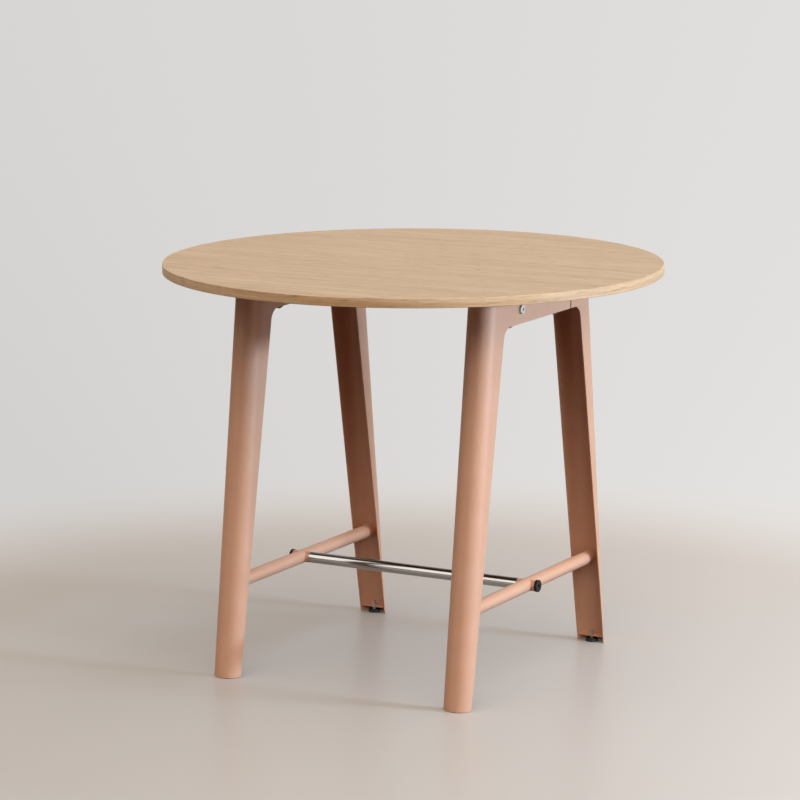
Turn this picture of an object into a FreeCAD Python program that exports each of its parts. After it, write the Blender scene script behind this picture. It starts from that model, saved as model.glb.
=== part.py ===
"""High table: a round veneered top on two bent-steel trestles, tied together by a stainless foot rail.

The frame stands on the floor under the middle of the top: +X runs along the foot rail, +Y along the
trestles towards the rear, +Z up. Lengths are millimetres.
"""
import FreeCAD, Part
import Sketcher
import os
import re

# Driving dimensions: alias, value, what it measures
SIZES = (
    ("table_height", 900, "floor to the upper face of the top"),
    ("top_diameter", 1100, "across the finished top"),
    ("top_thickness", 20, "finished top with both veneers"),
    ("veneer_sheet", 0.6, "each veneer"),
    ("band_thickness", 1.5, "lipping round the rim"),
    ("band_rounding", 1.2, "rounded corners of the lipping"),
    ("trestle_spacing", 571, "between the two trestles' middle planes"),
    ("foot_spread", 319, "trestle's middle to a leg's half-round axis, on the floor"),
    ("head_spread", 209, "the same, under the top"),
    ("leg_radius", 34, "outside of the leg's half round"),
    ("leg_sheet", 3, "steel sheet of the legs"),
    ("leg_lift", 0.8, "leg's lower edge above the floor"),
    ("flange_head", 41.5, "flange past the half-round axis, under the top"),
    ("flange_foot", -7.5, "the same on the floor, where the edge cuts into the half round"),
    ("tongue_depth", 80, "tongue under the top"),
    ("tongue_fillet", 30, "between the flange's edge and the tongue"),
    ("tongue_short", 46, "short tongue, from the flange's edge to the seam"),
    ("seam_gap", 4, "between a long and a short tongue"),
    ("bracket_width", 18, "outside of the bracket's channel"),
    ("bracket_length", 56, "along the trestle"),
    ("bracket_height", 91.5, "down from the top's underside"),
    ("bracket_sheet", 2.5, "steel sheet of the bracket"),
    ("bracket_bend", 3, "outside radius of the bracket's bends"),
    ("bracket_flat", 2, "straight stretch between the rounded lower corners of the cheeks"),
    ("screw_spacing", 32, "between a bracket's two screws"),
    ("screw_diameter", 6, "bracket screw"),
    ("screw_grip", 11, "screw past the bracket, in its insert"),
    ("screw_head_diameter", 10.5, "bracket screw's head"),
    ("screw_head_height", 3.3, "bracket screw's head"),
    ("screw_key", 4, "hexagon socket, across flats"),
    ("insert_diameter", 10, "threaded insert"),
    ("insert_length", 13, "threaded insert"),
    ("insert_spare", 1, "hole past the end of the insert"),
    ("bolt_drop", 48.5, "cross bolt's axis below the top's underside"),
    ("bolt_diameter", 8, "cross bolt's shank"),
    ("bolt_shoulder", 11, "shoulder of the cross bolt and barrel of its nut"),
    ("bolt_shoulder_length", 20, "shoulder and barrel, from under the head"),
    ("bolt_end_room", 4, "shank's end short of the far tongue's outer face"),
    ("bolt_head_diameter", 20, "heads of the cross bolt and its nut"),
    ("bolt_head_height", 6, "heads of the cross bolt and its nut"),
    ("bolt_head_rounding", 0.8, "rim of the heads"),
    ("bolt_key", 6, "hexagon socket, across flats"),
    ("sleeve_diameter", 16, "spacer sleeve on the cross bolt"),
    ("rung_height", 203, "axes of the rungs and the foot rail above the floor"),
    ("rung_diameter", 30, "rung tube"),
    ("rung_wall", 2, "rung tube"),
    ("socket_length", 44, "socket tube through the rung"),
    ("rail_diameter", 25, "foot rail and its sockets"),
    ("rail_wall", 1.5, "foot rail tube"),
    ("plug_length", 25, "tapped plug in the foot rail's end"),
    ("rail_bolt_diameter", 10, "bolt through the socket into the plug"),
    ("rail_bolt_grip", 20, "bolt's length in the plug"),
    ("rail_bolt_head_diameter", 27, "bolt's disc head"),
    ("rail_bolt_head_height", 6.3, "bolt's disc head"),
    ("rail_bolt_key", 8, "hexagon socket, across flats"),
    ("key_depth", 3.2, "depth of the hexagon sockets in the bolts' heads"),
    ("screw_key_depth", 2, "depth of the hexagon socket in the bracket screw"),
    ("plate_sheet", 3, "foot plate"),
    ("plate_rim", 2.5, "plate left in front of the stud's hole"),
    ("pad_diameter", 28, "foot pad"),
    ("pad_height", 7.3, "foot pad"),
    ("pad_rounding", 0.8, "pad's rims"),
    ("pad_sole", 1.9, "pad under the stud's head"),
    ("pad_wall_gap", 2.5, "pad to the leg's inner wall, on the floor"),
    ("pad_lift", 5.2, "pad's upper face to the foot plate"),
    ("stud_diameter", 8, "levelling stud"),
    ("stud_height", 11, "stud above the foot plate"),
    ("stud_chamfer", 0.8, "stud's upper end"),
    ("stud_head_diameter", 14, "stud's head, held in the pad"),
    ("stud_head_height", 3, "stud's head"),
    ("stud_key", 4, "hexagon socket in the stud's upper end, across flats"),
    ("stud_key_depth", 4, "depth of that socket"),
    ("thread_pitch", 1.25, "stud's thread"),
    ("thread_depth", 0.6, "stud's thread"),
    ("fit_clearance", 0.05, "radial, pieces fixed in or screwed through each other"),
    ("bolt_clearance", 0.2, "radial, bolts and barrels in their holes"),
    ("swivel_clearance", 0.1, "stud's head in the pad, all round"),
)
ALIASES = {alias for alias, _, _ in SIZES}

# Heights and reaches that several pieces share, as expressions in the driving dimensions
UNDERSIDE = "(table_height - top_thickness)"
TRESTLE = "(trestle_spacing / 2)"
LEAN = f"((foot_spread - head_spread) / {UNDERSIDE})"
INNER_RADIUS = "(leg_radius - leg_sheet)"
TONGUE_EDGE = f"({UNDERSIDE} - tongue_depth)"
EDGE_FOOT = "(foot_spread - flange_foot)"
EDGE_HEAD = "(head_spread - flange_head)"
EDGE_TONGUE = f"({EDGE_HEAD} + ({EDGE_FOOT} - {EDGE_HEAD}) * tongue_depth / {UNDERSIDE})"
SEAM = f"({EDGE_TONGUE} - tongue_short)"
BOLT_REACH = f"({SEAM} - bracket_length / 2)"
BOLT_HEIGHT = f"({UNDERSIDE} - bolt_drop)"
BARREL_HOLE = "(bolt_shoulder / 2 + bolt_clearance)"
RAIL_LENGTH = "(trestle_spacing - socket_length)"
PANEL_RADIUS = "(top_diameter / 2 - band_thickness)"
INSERT_HOLE = "(insert_diameter / 2 + fit_clearance)"
FOOT_REACH = f"(foot_spread + {INNER_RADIUS} - pad_diameter / 2 - pad_wall_gap)"
PLATE_HEIGHT = "(pad_height + pad_lift)"
STUD_TOP = f"({PLATE_HEIGHT} + plate_sheet + stud_height)"
ORIGIN = "0"
ALONG_X = FreeCAD.Vector(1, 0, 0)
ALONG_Y = FreeCAD.Vector(0, 1, 0)


def axis_reach(height):
    """Distance from the trestle's middle to a leg's half-round axis, at a height."""
    return f"(foot_spread - {LEAN} * {height})"


doc = FreeCAD.newDocument("HighTable")
sheet = doc.addObject("Spreadsheet::Sheet", "Sizes")
for row, (alias, number, meaning) in enumerate(SIZES, start=1):
    sheet.set(f"A{row}", alias)
    sheet.set(f"B{row}", str(number))
    sheet.setAlias(f"B{row}", alias)
    sheet.set(f"C{row}", meaning)
doc.recompute()
sub_parts = []


def in_sheet(expression):
    """An expression with every alias written as a cell of the sheet."""
    return re.sub(r"[a-z_]+", lambda word: f"Sizes.{word[0]}" if word[0] in ALIASES else word[0], expression)


def bind(target, name, expression):
    """Tie a property of an object to the sheet."""
    target.setExpression(name, in_sheet(expression))


def number_of(expression):
    """Present value of an expression."""
    return float(sheet.evalExpression(in_sheet(expression)))


def place(target, x=ORIGIN, y=ORIGIN, z=ORIGIN, turn=None):
    """Set an object's Placement: a fixed turn, and a position tied to the sheet."""
    if turn:
        axis, angle = turn
        target.Placement.Rotation = FreeCAD.Rotation(FreeCAD.Vector(*axis), angle)
    for letter, expression in zip("xyz", (x, y, z)):
        bind(target, f"Placement.Base.{letter}", expression)


def origin_feature(body, role):
    """One of a body's own planes or axes."""
    return next(item for item in body.Origin.OriginFeatures if item.Role == role)


def new_body(name):
    """A body whose label is the piece's name."""
    return doc.addObject("PartDesign::Body", name)


def new_sketch(body, name, role, offset=ORIGIN):
    """A sketch on one of the body's planes, lifted along the plane's normal."""
    drawn = body.newObject("Sketcher::SketchObject", f"{body.Name}_{name}")
    drawn.AttachmentSupport = [(origin_feature(body, role), "")]
    drawn.MapMode = "FlatFace"
    bind(drawn, "AttachmentOffset.Base.z", offset)
    return drawn


def fix_point(drawn, element, point, x, y):
    """Hold a sketch point at a place that is tied to the sheet."""
    for kind, expression in (("DistanceX", x), ("DistanceY", y)):
        held = drawn.addConstraint(Sketcher.Constraint(kind, element, point, number_of(expression)))
        bind(drawn, f"Constraints[{held}]", expression)


def draw_circle(drawn, radius, x=ORIGIN, y=ORIGIN):
    """A circle whose centre and radius are tied to the sheet."""
    centre = FreeCAD.Vector(number_of(x), number_of(y), 0)
    circle = drawn.addGeometry(Part.Circle(centre, FreeCAD.Vector(0, 0, 1), number_of(radius)))
    fix_point(drawn, circle, 3, x, y)
    held = drawn.addConstraint(Sketcher.Constraint("Radius", circle, number_of(radius)))
    bind(drawn, f"Constraints[{held}]", radius)


def draw_outline(drawn, corners, arcs=None):
    """A closed outline through corners, each a pair of expressions.

    arcs maps a side's number to the Y of its centre: that side is an arc about a centre on the Y axis,
    and bulges towards -Y.
    """
    arcs = arcs or {}
    spots = [FreeCAD.Vector(number_of(x), number_of(y), 0) for x, y in corners]
    ends = []
    for side, start in enumerate(spots):
        finish = spots[(side + 1) % len(spots)]
        if side not in arcs:
            element = drawn.addGeometry(Part.LineSegment(start, finish))
            ends.append((element, 1, 2))
            continue
        centre = FreeCAD.Vector(0, number_of(arcs[side]), 0)
        circle = Part.Circle(centre, FreeCAD.Vector(0, 0, 1), start.distanceToPoint(centre))
        left, right = sorted((start, finish), key=lambda spot: spot.x)
        arc = Part.ArcOfCircle(circle, circle.parameter(left), circle.parameter(right))
        ends.append((drawn.addGeometry(arc), 1, 2) if start is left else (drawn.addGeometry(arc), 2, 1))
    for side, (element, _, last) in enumerate(ends):
        following, first, _ = ends[(side + 1) % len(ends)]
        drawn.addConstraint(Sketcher.Constraint("Coincident", element, last, following, first))
    for (element, first, _), (x, y) in zip(ends, corners):
        fix_point(drawn, element, first, x, y)
    for side, centre_y in arcs.items():
        held = drawn.addConstraint(Sketcher.Constraint("DistanceY", ends[side][0], 3, number_of(centre_y)))
        bind(drawn, f"Constraints[{held}]", centre_y)


def pad(body, drawn, length, lean=None, both_ways=False):
    """Add material on a sketch; lean pushes it along Y as it rises."""
    made = body.newObject("PartDesign::Pad", f"{drawn.Name}_pad")
    made.Profile = drawn
    made.SideType = "Symmetric" if both_ways else "One side"
    bind(made, "Length", length)
    if lean:
        set_lean(made, lean)
    return made


def pocket(body, drawn, length=None, lean=None, side="Symmetric", away=False):
    """Cut a sketch out of the body, right through where no length is given."""
    made = body.newObject("PartDesign::Pocket", f"{drawn.Name}_pocket")
    made.Profile = drawn
    made.SideType = side
    made.Reversed = away
    made.Type = "Length" if length else "ThroughAll"
    if length:
        bind(made, "Length", length)
    if lean:
        set_lean(made, lean)
    return made


def set_lean(feature, lean):
    """Run a pad or a pocket along a line that leans in Y."""
    feature.UseCustomVector = True
    feature.AlongSketchNormal = True
    feature.Direction = FreeCAD.Vector(0, number_of(lean), 1)
    bind(feature, "Direction.y", lean)


def revolve(body, kind, drawn):
    """Turn a sketch about the body's Z axis."""
    made = body.newObject(f"PartDesign::{kind}", f"{drawn.Name}_turned")
    made.Profile = drawn
    made.ReferenceAxis = (origin_feature(body, "Z_Axis"), [""])
    made.Angle = 360
    return made


def round_edges(body, base, radius, wanted, along=None):
    """Fillet the edges of a feature that a test on their ends picks out, all of one direction if given."""
    doc.recompute()
    names = []
    for count, edge in enumerate(base.Shape.Edges, start=1):
        ends = [vertex.Point for vertex in edge.Vertexes]
        run = (ends[-1] - ends[0]).normalize() if along else None
        if all(wanted(end) for end in ends) and (not along or abs(run.dot(along)) > 0.999):
            names.append(f"Edge{count}")
    if not names:
        raise ValueError(f"{body.Name} has no edge to round")
    made = body.newObject("PartDesign::Fillet", f"{base.Name}_rounded")
    made.Base = (base, names)
    bind(made, "Radius", radius)
    return made


def near(measure, expression):
    """Whether a coordinate lies where an expression puts it."""
    return abs(measure - number_of(expression)) < 1e-3


def cut_hexagon(body, across_flats, depth, height):
    """Cut a hexagon socket down from a height on the body's Z axis."""
    drawn = new_sketch(body, "key", "XY_Plane", height)
    corner = f"({across_flats} / sqrt(3))"
    half = f"({across_flats} / 2)"
    corners = [
        (corner, ORIGIN),
        (f"{corner} / 2", half),
        (f"-{corner} / 2", half),
        (f"-{corner}", ORIGIN),
        (f"-{corner} / 2", f"-{half}"),
        (f"{corner} / 2", f"-{half}"),
    ]
    draw_outline(drawn, corners)
    pocket(body, drawn, depth, side="One side")


def tube(name, outer_radius, bore_radius, length):
    """A plain tube about Z, with its middle at the body's origin."""
    body = new_body(name)
    drawn = new_sketch(body, "ring", "XY_Plane")
    draw_circle(drawn, outer_radius)
    draw_circle(drawn, bore_radius)
    pad(body, drawn, length, both_ways=True)
    return body


def headed_fastener(name, head_radius, head_height, steps, rounding):
    """A turned fastener: its head stands up from the origin, its steps hang below.

    steps lists the shank from the head down: radius, depth below the head at which that step ends.
    """
    body = new_body(name)
    drawn = new_sketch(body, "profile", "XZ_Plane")
    corners = [(ORIGIN, head_height), (head_radius, head_height), (head_radius, ORIGIN)]
    depth = ORIGIN
    for radius, step_end in steps:
        corners.append((radius, f"-{depth}"))
        corners.append((radius, f"-{step_end}"))
        depth = step_end
    corners.append((ORIGIN, f"-{depth}"))
    draw_outline(drawn, corners)
    turned = revolve(body, "Revolution", drawn)
    round_edges(body, turned, rounding, lambda end: near(end.z, head_height) and near(end.x, head_radius))
    return body


def group(name, pattern, places):
    """Copies of one fastener, kept together as a node."""
    copies = []
    for count, (x, y, z, turn) in enumerate(places, start=1):
        copy = doc.addObject("App::Link", f"{name}_{count}")
        copy.LinkedObject = pattern
        copy.LinkTransform = False
        place(copy, x, y, z, turn)
        copies.append(copy)
    made = doc.addObject("Part::Compound", name)
    made.Links = copies
    sub_parts.append(made)


# Turns of a piece, and the signs of the four corners of the table
UPRIGHT = ((0, 0, 1), 0)
HALF_TURN = ((0, 0, 1), 180)
UPSIDE_DOWN = ((1, 0, 0), 180)
TOWARDS_PLUS_X = ((0, 1, 0), 90)
TOWARDS_MINUS_X = ((0, 1, 0), -90)
SIDES = (("left", "-"), ("right", ""))
ENDS = (("front", "-", UPRIGHT), ("rear", "", HALF_TURN))
CORNERS = [
    (f"{end}_{side}", f"{side_sign}{TRESTLE}", end_sign, turn)
    for side, side_sign in SIDES
    for end, end_sign, turn in ENDS
]


# Table top: a board between two veneers, with a lipping glued round the rim
def screw_spots():
    """Places of the bracket screws, seen from above."""
    return [
        (x, f"({sign}{BOLT_REACH} {shift} screw_spacing / 2)")
        for _, x, sign, _ in CORNERS
        for shift in ("-", "+")
    ]


def panel(name, bottom, thickness, hole_depth=None):
    """A round layer of the top, with holes for the inserts where a depth is given."""
    body = new_body(name)
    drawn = new_sketch(body, "disc", "XY_Plane", bottom)
    draw_circle(drawn, PANEL_RADIUS)
    pad(body, drawn, thickness)
    if hole_depth:
        holes = new_sketch(body, "insert_holes", "XY_Plane", bottom)
        for x, y in screw_spots():
            draw_circle(holes, INSERT_HOLE, x, y)
        pocket(body, holes, hole_depth, side="One side", away=True)
    sub_parts.append(body)


def edge_band():
    """The lipping, with rounded corners."""
    body = new_body("edge_band")
    drawn = new_sketch(body, "ring", "XY_Plane", UNDERSIDE)
    draw_circle(drawn, "top_diameter / 2")
    draw_circle(drawn, PANEL_RADIUS)
    ring = pad(body, drawn, "top_thickness")
    round_edges(body, ring, "band_rounding", lambda end: near(end.x, "top_diameter / 2"))
    sub_parts.append(body)


panel("top_core", f"({UNDERSIDE} + veneer_sheet)", "top_thickness - 2 * veneer_sheet",
      "insert_length + insert_spare - veneer_sheet")
panel("top_veneer", "(table_height - veneer_sheet)", "veneer_sheet")
panel("underside_veneer", UNDERSIDE, "veneer_sheet", "veneer_sheet")
edge_band()
group(
    "threaded_inserts",
    tube("insert", "insert_diameter / 2", "screw_diameter / 2 + fit_clearance", "insert_length"),
    [(x, y, f"{UNDERSIDE} + insert_length / 2", UPRIGHT) for x, y in screw_spots()],
)


# Leg: one bent sheet, half round outside, with flanges that taper downwards and turn into tongues
def flange_cut(body, name, tongue_end):
    """Outline of what is cut away inside a flange and under its tongue, seen along X."""
    drawn = new_sketch(body, name, "YZ_Plane")
    beyond = "(2 * foot_spread)"
    above = f"({UNDERSIDE} + tongue_depth)"
    corners = [
        (f"-{EDGE_FOOT}", ORIGIN),
        (f"-{EDGE_TONGUE}", TONGUE_EDGE),
        (tongue_end, TONGUE_EDGE),
        (tongue_end, above),
        (beyond, above),
        (beyond, ORIGIN),
    ]
    draw_outline(drawn, corners)
    return drawn


def leg(name, x, turn):
    """A leg, drawn as the front leg of a trestle: its long tongue is on the +X side."""
    body = new_body(name)
    section = new_sketch(body, "section", "XY_Plane", "leg_lift")
    axis = f"-{axis_reach('leg_lift')}"
    corners = [
        ("leg_radius", SEAM),
        (INNER_RADIUS, SEAM),
        (INNER_RADIUS, axis),
        (f"-{INNER_RADIUS}", axis),
        (f"-{INNER_RADIUS}", SEAM),
        ("-leg_radius", SEAM),
        ("-leg_radius", axis),
        ("leg_radius", axis),
    ]
    draw_outline(section, corners, arcs={2: axis, 6: axis})
    pad(body, section, f"{UNDERSIDE} - leg_lift", lean=LEAN)
    long_cut = flange_cut(body, "long_tongue", f"({SEAM} - seam_gap / 2)")
    pocket(body, long_cut, side="One side", away=True)
    short_cut = flange_cut(body, "short_tongue", f"-({SEAM} + seam_gap / 2)")
    cut = pocket(body, short_cut, side="One side")
    round_edges(body, cut, "tongue_fillet",
                lambda end: near(end.y, f"-{EDGE_TONGUE}") and near(end.z, TONGUE_EDGE))
    holes = new_sketch(body, "bolt_holes", "YZ_Plane")
    for sign in ("-", ""):
        draw_circle(holes, BARREL_HOLE, f"{sign}{BOLT_REACH}", BOLT_HEIGHT)
    pocket(body, holes, side="One side", away=True)
    place(body, x, turn=turn)
    sub_parts.append(body)


for corner_name, corner_x, _, corner_turn in CORNERS:
    leg(f"leg_{corner_name}", corner_x, corner_turn)


# Rung: a tube between the legs of a trestle, its ends shaped to the legs' inner walls
def rung(name, x):
    """A rung, pierced for the socket of the foot rail."""
    body = new_body(name)
    ring = new_sketch(body, "ring", "XZ_Plane")
    draw_circle(ring, "rung_diameter / 2", ORIGIN, "rung_height")
    draw_circle(ring, "rung_diameter / 2 - rung_wall", ORIGIN, "rung_height")
    pad(body, ring, "2 * (foot_spread + leg_radius)", both_ways=True)
    end = new_sketch(body, "end", "XY_Plane", "rung_height")
    axis = f"-{axis_reach('rung_height')}"
    beyond = "-(foot_spread + 2 * leg_radius)"
    corners = [
        (INNER_RADIUS, axis),
        (f"-{INNER_RADIUS}", axis),
        (f"-{INNER_RADIUS}", beyond),
        (INNER_RADIUS, beyond),
    ]
    draw_outline(end, corners, arcs={0: axis})
    trimmed = pocket(body, end, "2 * rung_diameter", lean=LEAN)
    both = body.newObject("PartDesign::Mirrored", f"{name}_ends")
    both.Originals = [trimmed]
    both.MirrorPlane = (origin_feature(body, "XZ_Plane"), [""])
    body.Tip = both
    hole = new_sketch(body, "socket_hole", "YZ_Plane")
    draw_circle(hole, "rail_diameter / 2 + fit_clearance", ORIGIN, "rung_height")
    pocket(body, hole)
    place(body, x)
    sub_parts.append(body)


# Foot rail: a tube bolted end to end between the sockets of the two rungs
def rail_bolt(name, x, turn):
    """The bolt through a socket into the plug, with a disc head."""
    length = "(socket_length + rail_bolt_grip)"
    steps = [("rail_bolt_diameter / 2", length)]
    body = headed_fastener(name, "rail_bolt_head_diameter / 2", "rail_bolt_head_height", steps,
                           "bolt_head_rounding")
    cut_hexagon(body, "rail_bolt_key", "key_depth", "rail_bolt_head_height")
    place(body, x, z="rung_height", turn=turn)
    sub_parts.append(body)


def rail_end(side, sign, outwards):
    """Rung, socket, plug and bolt at one end of the foot rail."""
    rung(f"rung_{side}", f"{sign}{TRESTLE}")
    bore = "rail_bolt_diameter / 2 + bolt_clearance"
    socket = tube(f"rail_socket_{side}", "rail_diameter / 2", bore, "socket_length")
    place(socket, f"{sign}{TRESTLE}", z="rung_height", turn=outwards)
    thread = "rail_bolt_diameter / 2 + fit_clearance"
    seat = "rail_diameter / 2 - rail_wall - fit_clearance"
    plug = tube(f"rail_plug_{side}", seat, thread, "plug_length")
    place(plug, f"{sign}({RAIL_LENGTH} - plug_length) / 2", z="rung_height", turn=outwards)
    sub_parts.extend((socket, plug))
    rail_bolt(f"rail_bolt_{side}", f"{sign}({TRESTLE} + socket_length / 2)", outwards)


rail_end("left", "-", TOWARDS_MINUS_X)
rail_end("right", "", TOWARDS_PLUS_X)
foot_rail = tube("foot_rail", "rail_diameter / 2", "rail_diameter / 2 - rail_wall", RAIL_LENGTH)
place(foot_rail, z="rung_height", turn=TOWARDS_PLUS_X)
sub_parts.append(foot_rail)


# Top bracket: a channel between the tongues, screwed up to the top and hung on the cross bolt
def top_bracket(name, x, y):
    """A bracket, open downwards."""
    body = new_body(name)
    section = new_sketch(body, "section", "XZ_Plane")
    half = "(bracket_width / 2)"
    inside = f"({half} - bracket_sheet)"
    low = f"({UNDERSIDE} - bracket_height)"
    web = f"({UNDERSIDE} - bracket_sheet)"
    corners = [
        (half, UNDERSIDE),
        (f"-{half}", UNDERSIDE),
        (f"-{half}", low),
        (f"-{inside}", low),
        (f"-{inside}", web),
        (inside, web),
        (inside, low),
        (half, low),
    ]
    draw_outline(section, corners)
    channel = pad(body, section, "bracket_length", both_ways=True)
    bends = round_edges(body, channel, "bracket_bend",
                        lambda end: near(end.z, UNDERSIDE) and near(abs(end.x), half), ALONG_Y)
    round_edges(body, bends, "(bracket_length - bracket_flat) / 2",
                lambda end: near(end.z, low) and near(abs(end.y), "bracket_length / 2"), ALONG_X)
    bolt_hole = new_sketch(body, "bolt_hole", "YZ_Plane")
    draw_circle(bolt_hole, "bolt_diameter / 2 + bolt_clearance", ORIGIN, BOLT_HEIGHT)
    pocket(body, bolt_hole)
    screw_holes = new_sketch(body, "screw_holes", "XY_Plane")
    for sign in ("-", ""):
        draw_circle(screw_holes, "screw_diameter / 2 + bolt_clearance", ORIGIN, f"{sign}screw_spacing / 2")
    pocket(body, screw_holes, side="One side", away=True)
    place(body, x, y)
    sub_parts.append(body)


for corner_name, corner_x, corner_sign, _ in CORNERS:
    top_bracket(f"top_bracket_{corner_name}", corner_x, f"{corner_sign}{BOLT_REACH}")

bracket_screw = headed_fastener(
    "bracket_screw", "screw_head_diameter / 2", "screw_head_height",
    [("screw_diameter / 2", "(bracket_sheet + screw_grip)")], "bolt_head_rounding")
cut_hexagon(bracket_screw, "screw_key", "screw_key_depth", "screw_head_height")
group(
    "bracket_screws",
    bracket_screw,
    [(x, y, f"{UNDERSIDE} - bracket_sheet", UPSIDE_DOWN) for x, y in screw_spots()],
)


# Cross bolt: runs through both tongues and the bracket, with a barrel nut at its far end
def barrel_nut():
    """The nut: a head like the bolt's, and a barrel with a blind hole."""
    body = headed_fastener("cross_nut", "bolt_head_diameter / 2", "bolt_head_height",
                           [("bolt_shoulder / 2", "bolt_shoulder_length")], "bolt_head_rounding")
    hole = new_sketch(body, "thread", "XY_Plane", "-bolt_shoulder_length")
    draw_circle(hole, "bolt_diameter / 2 + fit_clearance")
    pocket(body, hole, "bolt_shoulder_length", side="One side", away=True)
    return body


cross_bolt = headed_fastener(
    "cross_bolt", "bolt_head_diameter / 2", "bolt_head_height",
    [("bolt_shoulder / 2", "bolt_shoulder_length"),
     ("bolt_diameter / 2", "(2 * leg_radius - bolt_end_room)")], "bolt_head_rounding")
cut_hexagon(cross_bolt, "bolt_key", "key_depth", "bolt_head_height")
sleeve_length = f"({INNER_RADIUS} - bracket_width / 2)"
sleeve = tube("sleeve", "sleeve_diameter / 2", BARREL_HOLE, sleeve_length)
bolt_places = []
nut_places = []
sleeve_places = []
for side_name, side_sign in SIDES:
    outwards, inwards = TOWARDS_PLUS_X, TOWARDS_MINUS_X
    if side_name == "left":
        outwards, inwards = inwards, outwards
    for _, end_sign, _ in ENDS:
        bolt_y = f"{end_sign}{BOLT_REACH}"
        bolt_places.append((f"{side_sign}({TRESTLE} + leg_radius)", bolt_y, BOLT_HEIGHT, outwards))
        nut_places.append((f"{side_sign}({TRESTLE} - leg_radius)", bolt_y, BOLT_HEIGHT, inwards))
        for shift in ("-", "+"):
            sleeve_x = f"{side_sign}{TRESTLE} {shift} (bracket_width + {sleeve_length}) / 2"
            sleeve_places.append((sleeve_x, bolt_y, BOLT_HEIGHT, TOWARDS_PLUS_X))
group("cross_bolts", cross_bolt, bolt_places)
group("cross_nuts", barrel_nut(), nut_places)
group("spacer_sleeves", sleeve, sleeve_places)


# Levelling foot: a stud screwed through a plate in the leg's lower end, turning in a pad
def foot_plate(name, x, turn):
    """A plate that fills the leg's half round, tapped for the stud."""
    body = new_body(name)
    drawn = new_sketch(body, "section", "XY_Plane", PLATE_HEIGHT)
    axis = f"-{axis_reach(PLATE_HEIGHT)}"
    front = f"-({FOOT_REACH} - stud_diameter / 2 - plate_rim)"
    half_chord = f"sqrt({INNER_RADIUS} ^ 2 - ({front} - ({axis})) ^ 2)"
    draw_outline(drawn, [(half_chord, front), (f"-{half_chord}", front)], arcs={0: axis})
    pad(body, drawn, "plate_sheet", lean=LEAN)
    hole = new_sketch(body, "thread", "XY_Plane")
    draw_circle(hole, "stud_diameter / 2 + fit_clearance", ORIGIN, f"-{FOOT_REACH}")
    pocket(body, hole, side="One side", away=True)
    place(body, x, turn=turn)
    sub_parts.append(body)


def foot_pad(name, x, y):
    """A moulded pad with a pocket for the stud's head."""
    body = new_body(name)
    drawn = new_sketch(body, "profile", "XZ_Plane")
    bore = "(stud_diameter / 2 + swivel_clearance)"
    pocket_radius = "(stud_head_diameter / 2 + swivel_clearance)"
    pocket_roof = "(pad_sole + stud_head_height + 2 * swivel_clearance)"
    corners = [
        (ORIGIN, ORIGIN),
        ("pad_diameter / 2", ORIGIN),
        ("pad_diameter / 2", "pad_height"),
        (bore, "pad_height"),
        (bore, pocket_roof),
        (pocket_radius, pocket_roof),
        (pocket_radius, "pad_sole"),
        (ORIGIN, "pad_sole"),
    ]
    draw_outline(drawn, corners)
    turned = revolve(body, "Revolution", drawn)
    round_edges(body, turned, "pad_rounding", lambda end: near(end.x, "pad_diameter / 2"))
    place(body, x, y)
    sub_parts.append(body)


def foot_stud(name, x, y):
    """The stud: a head held in the pad, a ringed thread and a hexagon socket at the upper end."""
    body = new_body(name)
    drawn = new_sketch(body, "profile", "XZ_Plane")
    radius = "(stud_diameter / 2)"
    head_radius = "(stud_head_diameter / 2)"
    head_low = "(pad_sole + swivel_clearance)"
    head_high = f"({head_low} + stud_head_height)"
    corners = [
        (ORIGIN, head_low),
        (head_radius, head_low),
        (head_radius, head_high),
        (radius, head_high),
        (radius, f"({STUD_TOP} - stud_chamfer)"),
        (f"({radius} - stud_chamfer)", STUD_TOP),
        (ORIGIN, STUD_TOP),
    ]
    draw_outline(drawn, corners)
    revolve(body, "Revolution", drawn)
    groove = new_sketch(body, "groove", "XZ_Plane")
    lowest = "(pad_height + thread_pitch)"
    corners = [
        (f"({radius} - thread_depth)", lowest),
        (f"({radius} + thread_depth)", f"({lowest} - thread_pitch)"),
        (f"({radius} + thread_depth)", f"({lowest} + thread_pitch)"),
    ]
    draw_outline(groove, corners)
    ring = revolve(body, "Groove", groove)
    thread = body.newObject("PartDesign::LinearPattern", f"{name}_thread")
    thread.Originals = [ring]
    thread.Direction = (origin_feature(body, "Z_Axis"), [""])
    thread.Mode = "Spacing"
    bind(thread, "Offset", "thread_pitch")
    bind(thread, "Occurrences", f"floor(({STUD_TOP} - stud_chamfer - {lowest}) / thread_pitch)")
    body.Tip = thread
    cut_hexagon(body, "stud_key", "stud_key_depth", STUD_TOP)
    place(body, x, y)
    sub_parts.append(body)


for corner_name, corner_x, corner_sign, corner_turn in CORNERS:
    foot_y = f"{corner_sign}{FOOT_REACH}"
    foot_plate(f"foot_plate_{corner_name}", corner_x, corner_turn)
    foot_pad(f"foot_pad_{corner_name}", corner_x, foot_y)
    foot_stud(f"foot_stud_{corner_name}", corner_x, foot_y)

# Every object has to be whole before a piece is written
doc.recompute()
for item in doc.Objects:
    if "Invalid" in item.State or "Error" in item.State:
        raise ValueError(f"{item.Name} failed: {item.State}")
for piece in sub_parts:
    if piece.Shape.isNull() or not piece.Shape.isValid():
        raise ValueError(f"{piece.Label} has no valid shape")
os.makedirs("parts", exist_ok=True)
for piece in sub_parts:
    piece.Shape.exportStep(f"parts/{piece.Label}.step")
    print(f"{piece.Label}: {len(piece.Shape.Solids)} solid(s), {piece.Shape.Volume:.1f} mm3")
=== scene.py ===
import math

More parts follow.
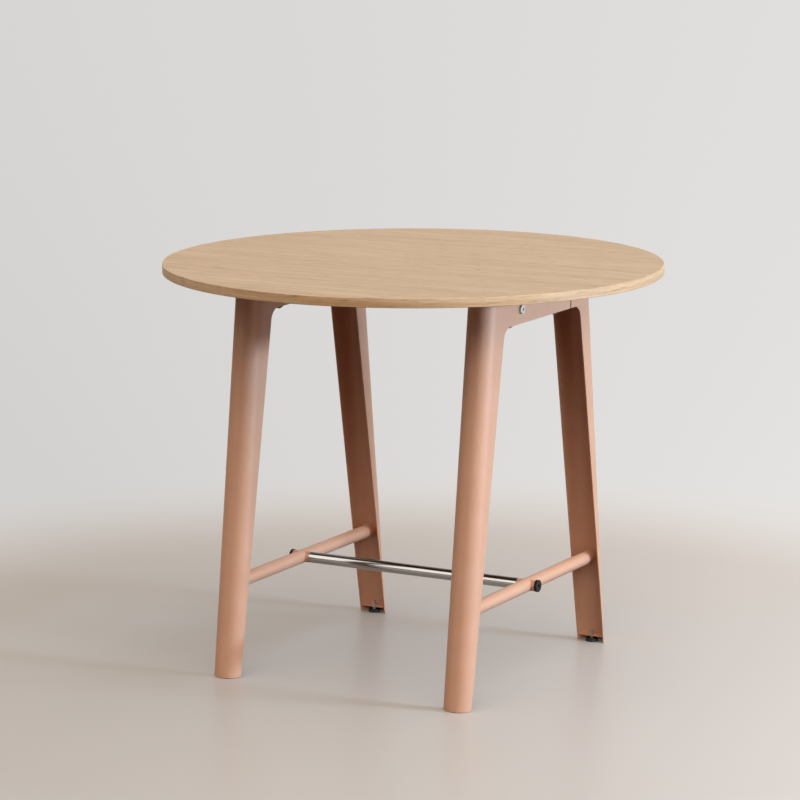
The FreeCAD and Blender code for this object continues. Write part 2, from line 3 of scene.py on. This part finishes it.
import bmesh
import bpy
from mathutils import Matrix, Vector


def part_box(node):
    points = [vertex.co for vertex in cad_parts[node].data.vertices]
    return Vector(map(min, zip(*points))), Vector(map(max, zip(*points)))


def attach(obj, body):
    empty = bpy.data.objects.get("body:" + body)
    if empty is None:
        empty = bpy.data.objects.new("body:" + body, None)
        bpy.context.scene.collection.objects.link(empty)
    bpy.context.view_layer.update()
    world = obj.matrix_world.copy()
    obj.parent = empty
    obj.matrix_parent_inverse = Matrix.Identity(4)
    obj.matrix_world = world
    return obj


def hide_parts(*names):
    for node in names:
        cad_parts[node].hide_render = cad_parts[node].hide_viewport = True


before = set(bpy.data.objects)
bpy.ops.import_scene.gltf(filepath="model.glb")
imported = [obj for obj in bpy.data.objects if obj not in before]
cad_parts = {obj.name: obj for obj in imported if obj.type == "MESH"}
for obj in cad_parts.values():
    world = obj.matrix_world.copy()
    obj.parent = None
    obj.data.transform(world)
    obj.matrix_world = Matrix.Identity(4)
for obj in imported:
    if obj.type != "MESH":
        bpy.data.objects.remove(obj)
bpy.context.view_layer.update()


# Core of the top: a board of pressed wood fibres, sawn to a disc. The veneers and the lipping hide
# it, and only the bores for the threaded inserts open it from below. All sizes are in metres.
FIBRE_TUFT = 0.0015
FIBRE_DEPTH = 0.0003
FIBRE_RELIEF = 0.3
FIBRE_TONES = [(0.1, "#9B7D58"), (0.9, "#C9AE85")]


def colour(code):
    """An sRGB hex value as linear red, green, blue and alpha."""
    parts = [int(code[i:i + 2], 16) / 255 for i in (1, 3, 5)]
    return [p / 12.92 if p <= 0.04045 else ((p + 0.055) / 1.055) ** 2.4 for p in parts] + [1.0]


def new_finish(name, **sockets):
    """A material with its node tree and its shader, whose plain sockets are set here."""
    material = bpy.data.materials.new(name)
    material.use_nodes = True
    tree = material.node_tree
    shader = tree.nodes["Principled BSDF"]
    for socket, value in sockets.items():
        shader.inputs[socket.replace("_", " ")].default_value = value
    return material, tree, shader


def add(tree, kind, inputs=(), stops=(), **settings):
    """Adds a node. An input is a value, or another node's output to link to it.

    A colour ramp takes its stops as (position, hex colour) in rising order.
    """
    made = tree.nodes.new(kind)
    for key, value in settings.items():
        setattr(made, key, value)
    for key, value in dict(inputs).items():
        if isinstance(value, bpy.types.NodeSocket):
            tree.links.new(value, made.inputs[key])
        else:
            made.inputs[key].default_value = value
    for index, (position, code) in enumerate(stops):
        elements = made.color_ramp.elements
        element = elements[index] if index < len(elements) else elements.new(position)
        element.position = position
        element.color = colour(code)
    return made


def paint(names, material):
    """Gives CAD nodes a finish and leaves their meshes as they are."""
    for name in names:
        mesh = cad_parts[name].data
        mesh.materials.clear()
        mesh.materials.append(material)


# Raw fibreboard is a dull felt of paler and darker tufts. Real tufts are under half a millimetre,
# and are drawn coarser here so that they show.
core_board, tree, shader = new_finish("raw_fibreboard", Roughness=0.8)
coords = add(tree, "ShaderNodeTexCoord")
tufts = add(tree, "ShaderNodeTexVoronoi", {"Vector": coords.outputs["Object"], "Scale": 1 / FIBRE_TUFT})
tone = add(tree, "ShaderNodeValToRGB", {"Fac": tufts.outputs["Color"]}, stops=FIBRE_TONES)
tree.links.new(tone.outputs["Color"], shader.inputs["Base Color"])
dents = add(tree, "ShaderNodeBump", {
    "Height": tufts.outputs["Distance"], "Strength": FIBRE_RELIEF, "Distance": FIBRE_DEPTH,
})
tree.links.new(dents.outputs["Normal"], shader.inputs["Normal"])
paint(["top_core"], core_board)


# Faces of the top: leaves of quarter-cut oak, 0.6 mm thick, pressed on above and below with the
# grain along the foot rail, sanded and finished with a matt lacquer.
LACQUER_ROUGHNESS = 0.42
VENEER_TONES = [(0.30, "#BA9D7A"), (0.50, "#CEB493"), (0.70, "#DBC6A8")]
VENEER_PORE = "#86623F"

# Each part of the figure: its width across the grain, how many times as long it is along the grain,
# and its noise's detail. Real pores are about 0.3 mm wide, too fine to show, and are drawn coarser.
OAK_FIGURE = {
    "band": (0.045, 22, 3.0),
    "streak": (0.011, 30, 4.0),
    "pore": (0.0042, 14, 2.0),
    "fine_pore": (0.0011, 26, 1.0),
}
FIGURE_RAGGED = 0.55
STREAK_SHARE = 0.55

# The noise from which each kind of pore starts and is full, and how far it darkens the wood.
OAK_PORES = {"pore": (0.58, 0.72, 0.6), "fine_pore": (0.52, 0.70, 0.3)}
PORE_DEPTH = 0.0002
PORE_RELIEF = 0.12


def oak(name, lay, tones, pore_tone):
    """Lacquered oak: pale and dark bands along the grain, finer streaks in them, and dark pores.

    lay gives the socket whose X runs along the grain and whose Y runs across it.
    """
    material, tree, shader = new_finish(name, Roughness=LACQUER_ROUGHNESS)
    along = lay(tree)
    figure = {}
    for part, (width, stretch, detail) in OAK_FIGURE.items():
        drawn = add(tree, "ShaderNodeMapping", {
            "Vector": along, "Scale": (1 / width / stretch, 1 / width, 1 / width),
        })
        figure[part] = add(tree, "ShaderNodeTexNoise", {
            "Vector": drawn.outputs["Vector"], "Scale": 1.0, "Detail": detail, "Roughness": FIGURE_RAGGED,
        }).outputs["Fac"]
    mixed = add(tree, "ShaderNodeMix", {
        "Factor": STREAK_SHARE, "A": figure["band"], "B": figure["streak"],
    })
    wood = add(tree, "ShaderNodeValToRGB", {"Fac": mixed.outputs["Result"]}, stops=tones).outputs["Color"]
    for part, (start, full, strength) in OAK_PORES.items():
        flecks = add(tree, "ShaderNodeMapRange", {
            "Value": figure[part], "From Min": start, "From Max": full, "To Min": 0.0, "To Max": strength,
        })
        wood = add(tree, "ShaderNodeMix", {
            "Factor": flecks.outputs["Result"], "A": wood, "B": colour(pore_tone),
        }, data_type="RGBA").outputs["Result"]
    tree.links.new(wood, shader.inputs["Base Color"])
    pits = add(tree, "ShaderNodeBump", {
        "Height": figure["fine_pore"], "Strength": PORE_RELIEF, "Distance": PORE_DEPTH,
    })
    tree.links.new(pits.outputs["Normal"], shader.inputs["Normal"])
    return material


def flat_lay(tree):
    """Grain that runs straight along X, as on a flat leaf."""
    return add(tree, "ShaderNodeTexCoord").outputs["Object"]


oak_veneer = oak("oak_veneer", flat_lay, VENEER_TONES, VENEER_PORE)
paint(["top_veneer", "underside_veneer"], oak_veneer)


# Lipping: a strip of oak 1.5 mm thick, glued round the rim and rounded over at both edges. Its
# grain follows the rim, so the pattern runs on the angle round the top's middle.
RIM_RADIUS = 0.55
LIPPING_TONES = [(0.30, "#BF976D"), (0.50, "#DFBD96"), (0.70, "#EFDBC0")]
LIPPING_PORE = "#6E4526"


def rim_lay(tree):
    """Grain that runs round the rim: X is the way along it and Y is the height."""
    coords = add(tree, "ShaderNodeTexCoord")
    parts = add(tree, "ShaderNodeSeparateXYZ", {"Vector": coords.outputs["Object"]})
    angle = add(tree, "ShaderNodeMath", {
        0: parts.outputs["Y"], 1: parts.outputs["X"],
    }, operation="ARCTAN2")
    arc = add(tree, "ShaderNodeMath", {0: angle.outputs["Value"], 1: RIM_RADIUS}, operation="MULTIPLY")
    unrolled = add(tree, "ShaderNodeCombineXYZ", {"X": arc.outputs["Value"], "Y": parts.outputs["Z"]})
    return unrolled.outputs["Vector"]


oak_lipping = oak("oak_lipping", rim_lay, LIPPING_TONES, LIPPING_PORE)
paint(["edge_band"], oak_lipping)


# Threaded inserts: turned steel sleeves pressed up into the core, which the bracket screws go into.
# They are plated with zinc.
BLOOM_SIZE = 0.004
BLOOM_DETAIL = 3.0
ZINC_TONES = [(0.35, "#9C9C9A"), (0.65, "#BCBBB8")]
ZINC_ROUGHNESS = (0.5, 0.62)


def mottled(name, spot, detail, tones, roughness, bump=None, **sockets):
    """A finish whose colour and roughness vary together, in spots as long as spot says on each axis.

    bump is the strength and the depth of the spots' relief, where they have any.
    """
    material, tree, shader = new_finish(name, **sockets)
    coords = add(tree, "ShaderNodeTexCoord")
    drawn = add(tree, "ShaderNodeMapping", {
        "Vector": coords.outputs["Object"], "Scale": [1 / length for length in spot],
    })
    spots = add(tree, "ShaderNodeTexNoise", {
        "Vector": drawn.outputs["Vector"], "Scale": 1.0, "Detail": detail,
    }).outputs["Fac"]
    tone = add(tree, "ShaderNodeValToRGB", {"Fac": spots}, stops=tones)
    tree.links.new(tone.outputs["Color"], shader.inputs["Base Color"])
    smooth, matt = roughness
    sheen = add(tree, "ShaderNodeMapRange", {"Value": spots, "To Min": smooth, "To Max": matt})
    tree.links.new(sheen.outputs["Result"], shader.inputs["Roughness"])
    if bump:
        strength, depth = bump
        skin = add(tree, "ShaderNodeBump", {"Height": spots, "Strength": strength, "Distance": depth})
        tree.links.new(skin.outputs["Normal"], shader.inputs["Normal"])
    return material


# Zinc plate is a pale grey metal with a dull, faintly cloudy bloom.
zinc_plated = mottled(
    "zinc_plated_steel", [BLOOM_SIZE] * 3, BLOOM_DETAIL, ZINC_TONES, ZINC_ROUGHNESS, Metallic=1.0,
)
paint(["threaded_inserts"], zinc_plated)


# Legs: sheet steel 3 mm thick, cut flat and bent to a half round with two flanges, whose upper ends
# are the tongues under the top. Each leg is powder coated, which softens every cut edge.
CORNERS = ("front_left", "front_right", "rear_left", "rear_right")
MERGE_REACH = 1e-6
FLAT_ANGLE = math.radians(0.2)
SHARP_ANGLE = math.radians(35)
EDGE_STEPS = 2
COAT_EDGE = 0.0006
COAT_CLOUD = 0.06
COAT_TONES = [(0.3, "#D9A78A"), (0.7, "#DDAC8F")]
PEEL_SIZE = 0.0012
PEEL_DEPTH = 0.0002
PEEL_RELIEF = 0.15
scene = bpy.context.scene


def stand_for(name, piece_name, mesh, material):
    """Puts a mesh in the place of a CAD node of the table's fixed body."""
    mesh.materials.clear()
    mesh.materials.append(material)
    piece = bpy.data.objects.new(piece_name, mesh)
    scene.collection.objects.link(piece)
    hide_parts(name)
    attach(piece, "table")
    return piece


def eased(name, edge, material):
    """Stands for a CAD node with a copy of it whose sharp edges are rounded over.

    The copy's loose triangles are merged first, and those in one plane become one face.
    """
    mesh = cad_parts[name].data.copy()
    shape = bmesh.new()
    shape.from_mesh(mesh)
    bmesh.ops.remove_doubles(shape, verts=shape.verts, dist=MERGE_REACH)
    bmesh.ops.dissolve_limit(shape, angle_limit=FLAT_ANGLE, verts=shape.verts, edges=shape.edges)
    for face in shape.faces:
        face.smooth = True
    shape.to_mesh(mesh)
    shape.free()
    piece = stand_for(name, name + "_eased", mesh, material)
    rounding = piece.modifiers.new("edges", "BEVEL")
    rounding.width = edge
    rounding.segments = EDGE_STEPS
    rounding.limit_method = "ANGLE"
    rounding.angle_limit = SHARP_ANGLE
    rounding.use_clamp_overlap = False
    piece.modifiers.new("even_faces", "WEIGHTED_NORMAL")


# Baked powder coat is a satin skin, nearly even in tone, with a faint orange peel. The real peel is
# about half as wide, and is drawn coarser so that it shows.
powder_coat, tree, shader = new_finish(
    "salmon_powder_coat", Roughness=0.45, IOR=1.5, Specular_IOR_Level=0.42,
    Coat_Weight=0.12, Coat_Roughness=0.38,
)
coords = add(tree, "ShaderNodeTexCoord")
cloud = add(tree, "ShaderNodeTexNoise", {
    "Vector": coords.outputs["Object"], "Scale": 1 / COAT_CLOUD, "Detail": 2.0,
})
tone = add(tree, "ShaderNodeValToRGB", {"Fac": cloud.outputs["Fac"]}, stops=COAT_TONES)
tree.links.new(tone.outputs["Color"], shader.inputs["Base Color"])
peel = add(tree, "ShaderNodeTexNoise", {
    "Vector": coords.outputs["Object"], "Scale": 1 / PEEL_SIZE, "Detail": 1.0,
})
skin = add(tree, "ShaderNodeBump", {
    "Height": peel.outputs["Fac"], "Strength": PEEL_RELIEF, "Distance": PEEL_DEPTH,
})
tree.links.new(skin.outputs["Normal"], shader.inputs["Normal"])
for corner in CORNERS:
    eased("leg_" + corner, COAT_EDGE, powder_coat)


# Rungs and rail sockets: round steel tubes, the rungs welded inside the legs and the sockets
# through the rungs, coated together with the legs. A socket's ends are turned with a small round.
SIDES = ("left", "right")
SOCKET_WALL = 0.0073
TUBE_SIDES = 96
ROUND_STEPS = 3


def turned_tube(name, wall, edge, material):
    """Stands for a CAD tube along X: its wall's outline, with rounded corners, spun round the axis."""
    low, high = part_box(name)
    middle = (low + high) / 2
    outer = (high.z - low.z) / 2
    half = (high.x - low.x) / 2
    shape = bmesh.new()
    outline = [(-half, outer - wall), (half, outer - wall), (half, outer), (-half, outer)]
    section = shape.faces.new([shape.verts.new((x, 0, z)) for x, z in outline])
    bmesh.ops.bevel(
        shape, geom=section.verts, offset=edge, segments=ROUND_STEPS, profile=0.5,
        affect="VERTICES", material=-1,
    )
    bmesh.ops.delete(shape, geom=shape.faces, context="FACES_ONLY")
    bmesh.ops.spin(
        shape, geom=shape.verts[:] + shape.edges[:], cent=(0, 0, 0), axis=(1, 0, 0),
        angle=math.tau, steps=TUBE_SIDES, use_merge=True,
    )
    bmesh.ops.remove_doubles(shape, verts=shape.verts, dist=MERGE_REACH)
    bmesh.ops.recalc_face_normals(shape, faces=shape.faces)
    bmesh.ops.translate(shape, verts=shape.verts, vec=middle)
    for face in shape.faces:
        face.smooth = True
    mesh = bpy.data.meshes.new(name + "_turned")
    shape.to_mesh(mesh)
    shape.free()
    piece = stand_for(name, name + "_turned", mesh, material)
    piece.modifiers.new("even_wall", "WEIGHTED_NORMAL")


for side in SIDES:
    paint(["rung_" + side], powder_coat)
    turned_tube("rail_socket_" + side, SOCKET_WALL, COAT_EDGE, powder_coat)


# Foot rail: a drawn stainless tube, cut square and polished along its length, with a tapped steel
# plug in each end for the bolts that hold it between the sockets.
RAIL_WALL = 0.0015
RAIL_EDGE = 0.0004
POLISH_WIDTH = 0.0007
POLISH_LENGTH = 0.09
POLISH_DETAIL = 2.0
STAINLESS_TONES = [(0.3, "#96938F"), (0.7, "#A8A5A1")]
STAINLESS_ROUGHNESS = (0.10, 0.17)

# Polished stainless mirrors the room, slightly blurred by lines along the tube. Real lines are under
# a tenth of a millimetre wide, and are drawn coarser so that they show.
stainless = mottled(
    "polished_stainless_steel", (POLISH_LENGTH, POLISH_WIDTH, POLISH_WIDTH), POLISH_DETAIL,
    STAINLESS_TONES, STAINLESS_ROUGHNESS, Metallic=1.0,
)
turned_tube("foot_rail", RAIL_WALL, RAIL_EDGE, stainless)
paint(["rail_plug_" + side for side in SIDES], zinc_plated)


# Rail bolts: turned steel bolts with wide flat heads and a hexagon socket, blackened in hot oxide.
# They go through the sockets into the rail's plugs.
HEAD_EDGE = 0.0005
OXIDE_TONES = [(0.3, "#0E0E0E"), (0.7, "#171716")]
OXIDE_ROUGHNESS = (0.46, 0.6)

# Black oxide is a thin layer, nearly black, with a soft uneven sheen.
black_oxide = mottled(
    "black_oxide_steel", [BLOOM_SIZE] * 3, BLOOM_DETAIL, OXIDE_TONES, OXIDE_ROUGHNESS,
    Metallic=0.2, Specular_IOR_Level=0.25,
)
for side in SIDES:
    eased("rail_bolt_" + side, HEAD_EDGE, black_oxide)


# Top brackets: channels of folded sheet steel between the tongues, coated with black powder and
# held up against the top by zinc-plated machine screws in the inserts.
BRACKET_EDGE = 0.0008
GRIT_DETAIL = 2.0
BRACKET_TONES = [(0.3, "#141414"), (0.7, "#1C1B1B")]
BRACKET_ROUGHNESS = (0.5, 0.62)

# Black powder coat is matt, with a fine grit as coarse as the legs' peel.
black_coat = mottled(
    "black_powder_coat", [PEEL_SIZE] * 3, GRIT_DETAIL, BRACKET_TONES, BRACKET_ROUGHNESS,
    bump=(PEEL_RELIEF, PEEL_DEPTH), IOR=1.5,
)
for corner in CORNERS:
    eased("top_bracket_" + corner, BRACKET_EDGE, black_coat)
paint(["bracket_screws"], zinc_plated)


# Cross bolts, barrel nuts and spacer sleeves: turned steel hardware, zinc plated, that clamps the
# tongues of two legs to the brackets between them.
paint(["cross_bolts", "cross_nuts", "spacer_sleeves"], zinc_plated)


# Levelling feet: a coated plate welded inside each leg's lower end, a zinc-plated stud screwed
# through it, and a moulded nylon pad with rounded rims, which the stud's head turns in.
PLATE_EDGE = 0.0005
NYLON_TONES = [(0.3, "#121212"), (0.7, "#1A1A1A")]
NYLON_ROUGHNESS = (0.45, 0.6)

# Black nylon has the low, slightly grainy sheen of an etched mould.
nylon = mottled(
    "black_nylon", [PEEL_SIZE] * 3, GRIT_DETAIL, NYLON_TONES, NYLON_ROUGHNESS, IOR=1.53,
)
for corner in CORNERS:
    eased("foot_plate_" + corner, PLATE_EDGE, powder_coat)
    paint(["foot_stud_" + corner], zinc_plated)
    paint(["foot_pad_" + corner], nylon)


# Floor: plain, pale and a little glossy. Round the table it takes the shadows, and further out it
# fades to the even tone of a far wall. From below it is clear, so that the underside can be seen.
FLOOR_HALF = 30.0
FADE_START = 1.15
FADE_END = 2.1
FLOOR_NEAR = "#CAC7C4"
FLOOR_FAR = "#DAD7D5"
WALL_FOOT = "#E1DFDD"

# The floor's colour is painted brighter on the window's side and darker on the other. This is painted
# window light, and it changes most near the table.
PAINTED_LIGHT_SIDE = (0.88, 0.48, 0)
PAINTED_LIGHT_SPREAD = 1.5
PAINTED_LIGHT_REACH = 0.3
PAINTED_SHADE_LEVEL = 0.86
PAINTED_LIGHT_LEVEL = 1.04

# Light that the floor throws back at the table is dimmer and warmer than the floor looks.
FLOOR_BOUNCE = "#4E3729"
shape = bmesh.new()
bmesh.ops.create_grid(shape, x_segments=1, y_segments=1, size=FLOOR_HALF)
mesh = bpy.data.meshes.new("floor")
shape.to_mesh(mesh)
shape.free()
floor = bpy.data.objects.new("floor", mesh)
scene.collection.objects.link(floor)
pale_floor, tree, shader = new_finish("pale_floor", Roughness=0.34, Specular_IOR_Level=0.22)
coords = add(tree, "ShaderNodeTexCoord")
reach = add(tree, "ShaderNodeVectorMath", {0: coords.outputs["Object"]}, operation="LENGTH")
fade = add(tree, "ShaderNodeMapRange", {
    "Value": reach.outputs["Value"], "From Min": FADE_START, "From Max": FADE_END,
}, interpolation_type="SMOOTHSTEP")
tone = add(tree, "ShaderNodeMix", {
    "Factor": fade.outputs["Result"], "A": colour(FLOOR_NEAR), "B": colour(FLOOR_FAR),
}, data_type="RGBA")
# Painted window light: the floor's colour is scaled brighter toward the window's side and darker away
# from it.
sideways = add(tree, "ShaderNodeVectorMath", {
    0: coords.outputs["Object"], 1: PAINTED_LIGHT_SIDE,
}, operation="DOT_PRODUCT")
spread = add(tree, "ShaderNodeMath", {0: reach.outputs["Value"], 1: PAINTED_LIGHT_SPREAD}, operation="ADD")
across = add(tree, "ShaderNodeMath", {
    0: sideways.outputs["Value"], 1: spread.outputs["Value"],
}, operation="DIVIDE")
painted_window_light = add(tree, "ShaderNodeMapRange", {
    "Value": across.outputs["Value"], "From Min": -PAINTED_LIGHT_REACH, "From Max": PAINTED_LIGHT_REACH,
    "To Min": PAINTED_SHADE_LEVEL, "To Max": PAINTED_LIGHT_LEVEL,
})
painted_light_floor = add(tree, "ShaderNodeVectorMath", {
    0: tone.outputs["Result"], "Scale": painted_window_light.outputs["Result"],
}, operation="SCALE")
path = add(tree, "ShaderNodeLightPath")
bounce = add(tree, "ShaderNodeMix", {
    "Factor": path.outputs["Is Diffuse Ray"], "A": painted_light_floor.outputs["Vector"], "B": colour(FLOOR_BOUNCE),
}, data_type="RGBA")
tree.links.new(bounce.outputs["Result"], shader.inputs["Base Color"])
far_off = add(tree, "ShaderNodeMath", {
    0: path.outputs["Is Camera Ray"], 1: fade.outputs["Result"],
}, operation="MULTIPLY")
# The far wall tone the floor fades to is also painted brighter on the window's side, by the same painted
# window light.
even = add(tree, "ShaderNodeEmission", {"Color": colour(WALL_FOOT), "Strength": painted_window_light.outputs["Result"]})
ground = add(tree, "ShaderNodeMixShader", {
    0: far_off.outputs["Value"], 1: shader.outputs["BSDF"], 2: even.outputs["Emission"],
})
faces = add(tree, "ShaderNodeNewGeometry")
clear = add(tree, "ShaderNodeBsdfTransparent")
one_sided = add(tree, "ShaderNodeMixShader", {
    0: faces.outputs["Backfacing"], 1: ground.outputs["Shader"], 2: clear.outputs["BSDF"],
})
tree.links.new(one_sided.outputs["Shader"], tree.nodes["Material Output"].inputs["Surface"])
mesh.materials.append(pale_floor)


# Window: a wide, low lamp on the right, a little behind the table. Its daylight is cooler than the
# sky, and it draws the bright edge along the right of each round leg.
WINDOW_WIDTH = 1.1
WINDOW_HEIGHT = 0.4
WINDOW_POWER = 172
WINDOW_TONE = "#C9E5FF"
WINDOW_PLACE = (4.55, 0.65, 1.38)
WINDOW_AIM = Vector((0, 0, 0.6))
lamp = bpy.data.lights.new("window", "AREA")
lamp.shape = "RECTANGLE"
lamp.size = WINDOW_WIDTH
lamp.size_y = WINDOW_HEIGHT
lamp.energy = WINDOW_POWER
lamp.color = colour(WINDOW_TONE)[:3]
window = bpy.data.objects.new("window", lamp)
window.location = WINDOW_PLACE
window.rotation_euler = (WINDOW_AIM - window.location).to_track_quat("-Z", "Y").to_euler()
scene.collection.objects.link(window)


# Sky and room: a warm soft sky lights the table from above, and more from the front right. The
# camera sees an even pale wall instead, and glossy faces mirror a room with a window and a softbox.
SKY_TONE = "#FFF0E1"
SKY_START = 0.26
SKY_FULL = 0.5
SKY_HORIZON = 0.02
SKY_ZENITH = 1.04
SKY_FRONT = (0.75, -0.66, 0)
SKY_BEHIND_LEVEL = 0.8
SKY_FRONT_LEVEL = 2.7
WALL_TONE = "#DEDBD9"

# Each mirrored part: its direction, how squarely a ray faces it where it starts and where it is
# full, and its strength at both.
ROOM_WALL = ((0.55, 0.83, 0), -0.25, 0.6, 0.08, 1.0)
ROOM_WINDOW = ((1, 0, 0), 0.45, 0.88, 0.0, 4.5)
ROOM_SOFTBOX = ((-0.44, -0.70, 0.56), 0.86, 0.94, 0.0, 3.3)
world = bpy.data.worlds.new("studio")
scene.world = world
world.use_nodes = True
tree = world.node_tree
tree.nodes.clear()
around = add(tree, "ShaderNodeTexCoord").outputs["Generated"]


def towards(direction, start, full, low, high, blend="LINEAR"):
    """A strength that goes from low to high as a ray turns to face a direction."""
    facing = add(tree, "ShaderNodeVectorMath", {0: around, 1: direction}, operation="DOT_PRODUCT")
    return add(tree, "ShaderNodeMapRange", {
        "Value": facing.outputs["Value"], "From Min": start, "From Max": full,
        "To Min": low, "To Max": high,
    }, interpolation_type=blend).outputs["Result"]


parts = add(tree, "ShaderNodeSeparateXYZ", {"Vector": around})
rise = add(tree, "ShaderNodeMapRange", {
    "Value": parts.outputs["Z"], "From Min": SKY_START, "From Max": SKY_FULL,
    "To Min": SKY_HORIZON, "To Max": SKY_ZENITH,
})
fuller = towards(SKY_FRONT, 0.0, 1.0, SKY_BEHIND_LEVEL, SKY_FRONT_LEVEL)
level = add(tree, "ShaderNodeMath", {0: rise.outputs["Result"], 1: fuller}, operation="MULTIPLY")
sky = add(tree, "ShaderNodeBackground", {"Color": colour(SKY_TONE), "Strength": level.outputs["Value"]})

mirrored = towards(*ROOM_WALL)
for part in (ROOM_WINDOW, ROOM_SOFTBOX):
    bright = towards(*part, blend="SMOOTHSTEP")
    mirrored = add(tree, "ShaderNodeMath", {0: mirrored, 1: bright}, operation="ADD").outputs["Value"]
path = add(tree, "ShaderNodeLightPath")
pale = add(tree, "ShaderNodeMix", {"Factor": path.outputs["Is Camera Ray"], "A": mirrored, "B": 1.0})
wall = add(tree, "ShaderNodeBackground", {"Color": colour(WALL_TONE), "Strength": pale.outputs["Result"]})

shown = path.outputs["Is Camera Ray"]
for ray in ("Is Glossy Ray", "Is Transmission Ray"):
    shown = add(tree, "ShaderNodeMath", {
        0: shown, 1: path.outputs[ray],
    }, operation="MAXIMUM").outputs["Value"]
either = add(tree, "ShaderNodeMixShader", {
    0: shown, 1: sky.outputs["Background"], 2: wall.outputs["Background"],
})
add(tree, "ShaderNodeOutputWorld", {"Surface": either.outputs["Shader"]})


# Camera: a long lens a little above the top, in front on the right. Its place and length are fitted
# to the rim, the legs' edges and the feet.
CAMERA_TURN = math.radians(28.534)
CAMERA_BACK = 7.1581
CAMERA_HEIGHT = 1.9099
AIM_ASIDE = -0.0289
AIM_HEIGHT = 0.5893
SENSOR_WIDTH = 36
FOCAL_LENGTH = 148.03
lens = bpy.data.cameras.new("camera")
lens.sensor_width = SENSOR_WIDTH
lens.lens = FOCAL_LENGTH
camera = bpy.data.objects.new("camera", lens)
camera.location = (
    CAMERA_BACK * math.sin(CAMERA_TURN), -CAMERA_BACK * math.cos(CAMERA_TURN), CAMERA_HEIGHT,
)
aim = Vector((AIM_ASIDE * math.cos(CAMERA_TURN), AIM_ASIDE * math.sin(CAMERA_TURN), AIM_HEIGHT))
camera.rotation_euler = (aim - camera.location).to_track_quat("-Z", "Y").to_euler()
scene.collection.objects.link(camera)
scene.camera = camera
scene.view_settings.view_transform = "Standard"
